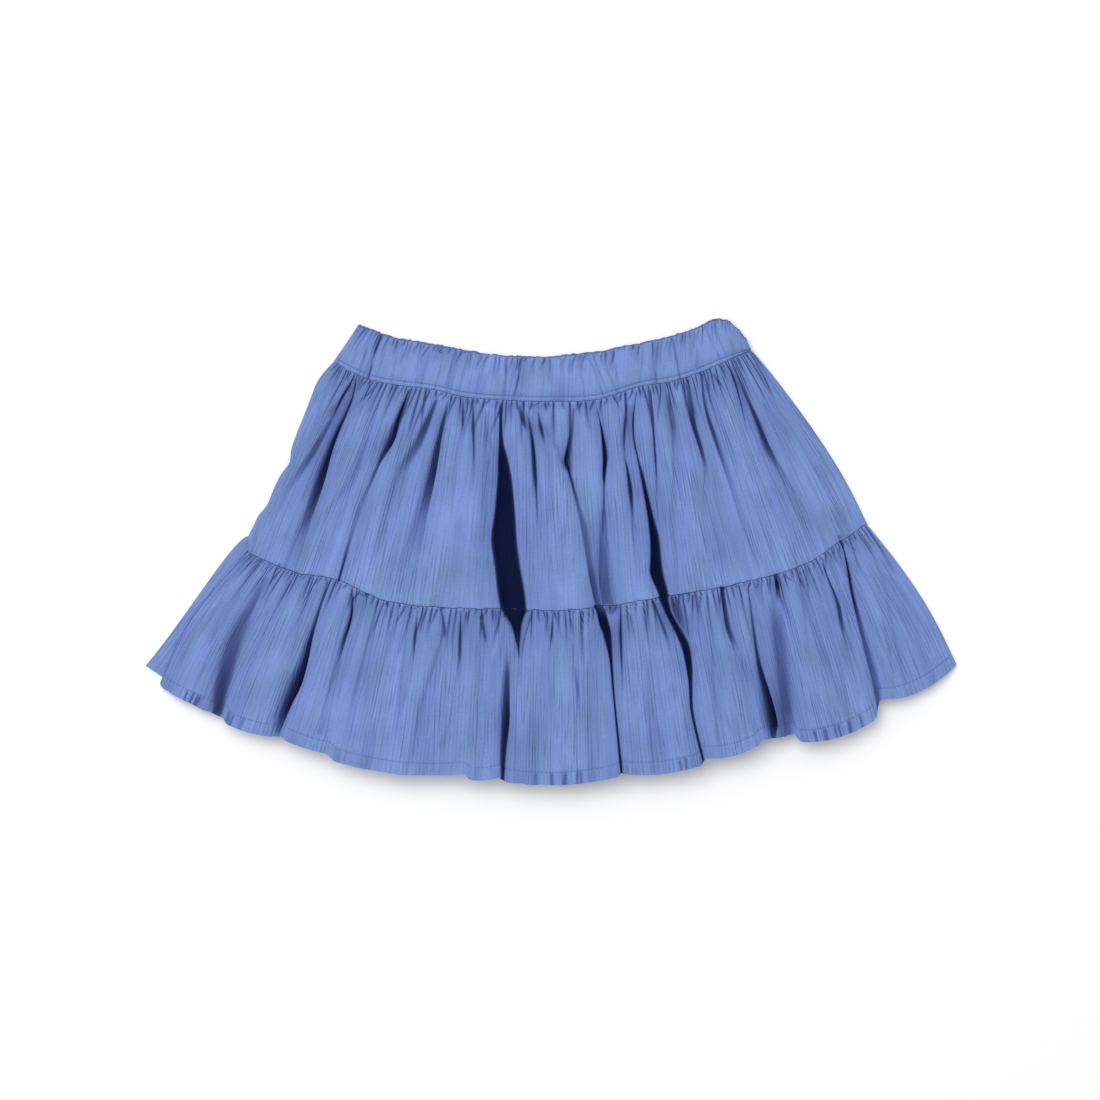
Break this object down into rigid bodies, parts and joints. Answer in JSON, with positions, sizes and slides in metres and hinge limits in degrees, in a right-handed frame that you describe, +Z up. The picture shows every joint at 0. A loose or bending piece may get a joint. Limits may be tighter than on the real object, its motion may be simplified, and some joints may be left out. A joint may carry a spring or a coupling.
{
  "type": "child's tiered skirt",
  "caption": "Child's gathered skirt with an elastic waistband, an upper tier and a hemmed ruffle, laid flat with its folds pushed into place.",
  "frame": {"origin": "centre of the skirt's box on the plane that it lies on", "axes": "+X across the skirt to the right as it is seen from above with the waist away from the viewer, +Y towards the waist, +Z up from the surface that it lies on"},
  "size_m": [0.5252, 0.3028, 0.0212],
  "materials": {
    "crepe_cloth": "matt crinkled cotton crepe, periwinkle blue",
    "band_cloth": "the same cotton over elastic, softly puckered"
  },
  "bodies": {
    "root": {"waistband_front": "band_cloth", "waistband_back": "band_cloth", "upper_tier_front": "crepe_cloth", "upper_tier_back": "crepe_cloth", "ruffle_front": "crepe_cloth", "ruffle_back": "crepe_cloth"}
  },
  "joints": []
}
